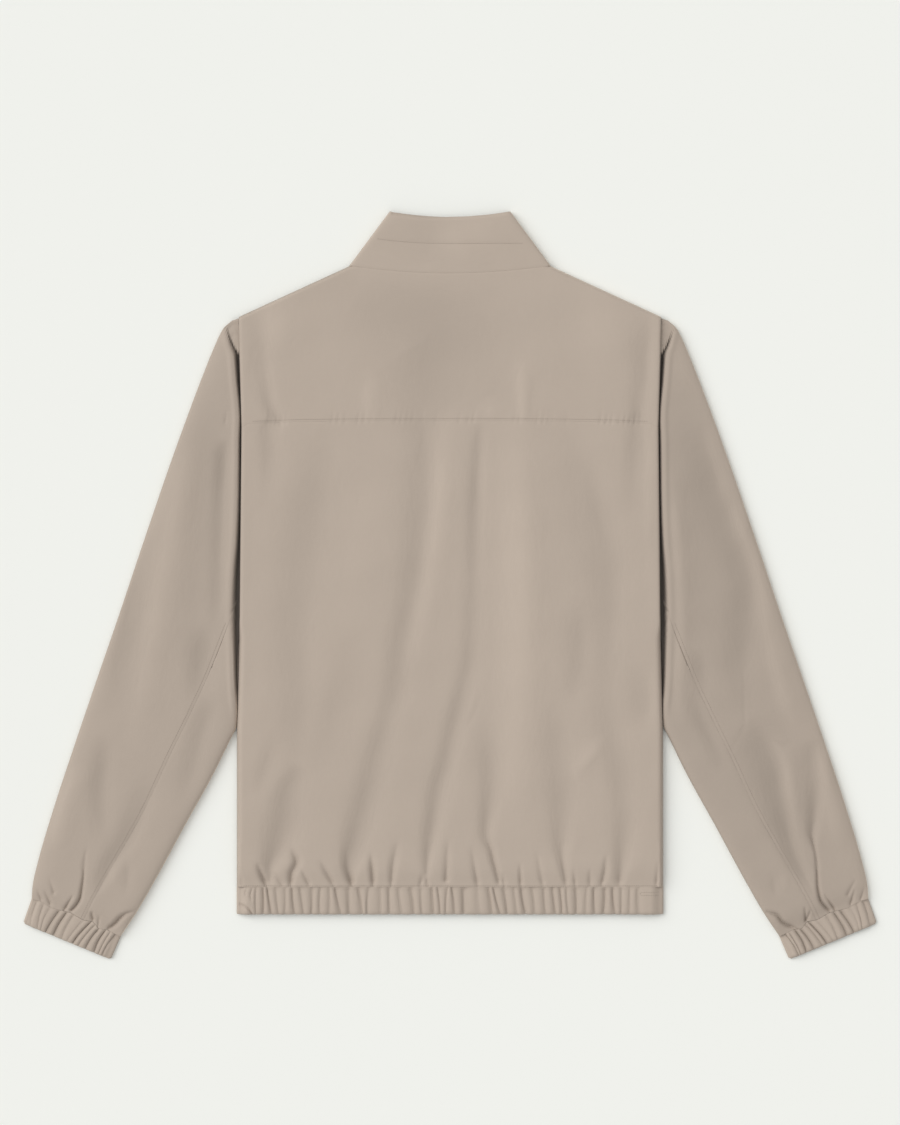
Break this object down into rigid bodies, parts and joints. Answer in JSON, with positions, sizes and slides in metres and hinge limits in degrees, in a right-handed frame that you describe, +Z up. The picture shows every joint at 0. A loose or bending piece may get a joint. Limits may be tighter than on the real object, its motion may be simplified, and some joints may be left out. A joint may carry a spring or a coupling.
{
  "type": "bomber jacket, laid flat",
  "caption": "Light woven bomber jacket laid flat on its front, with a stand collar, a back yoke, gathered cuffs and a gathered hem band.",
  "frame": {"origin": "on the surface that the jacket lies on, under the middle of its outline", "axes": "+X to the wearer's right, across both sleeves; +Y from the hem to the collar; +Z up out of the back, the surface's normal"},
  "size_m": [0.8894, 0.7795, 0.0077],
  "materials": {
    "shell_cloth": "smooth plain-woven taupe nylon, matt with a slight sheen",
    "band_cloth": "the same cloth gathered on elastic",
    "collar_cloth": "the same cloth, doubled and topstitched",
    "zip_tape": "woven zip tape with its coil chain, dyed to match",
    "zip_metal": "satin metal"
  },
  "bodies": {
    "jacket": {"back_yoke": "shell_cloth", "back_body": "shell_cloth", "front_left": "shell_cloth", "front_right": "shell_cloth", "sleeve_top_left": "shell_cloth", "sleeve_top_right": "shell_cloth", "sleeve_under_left": "shell_cloth", "sleeve_under_right": "shell_cloth", "cuff_left": "band_cloth", "cuff_right": "band_cloth", "hem_band": "band_cloth", "collar": "collar_cloth", "zip_tape_left": "zip_tape", "zip_tape_right": "zip_tape", "zip_slider": "zip_metal", "zip_box": "zip_metal"},
    "pull_tab": {"zip_pull_tab": "zip_metal"}
  },
  "joints": [
    {"name": "pull_tab_swing", "type": "hinge", "parent": "jacket", "child": "pull_tab", "pos_m": [0, 0.3383, 0.00135], "axis": [1, 0, 0], "range_deg": [0, 150]}
  ]
}
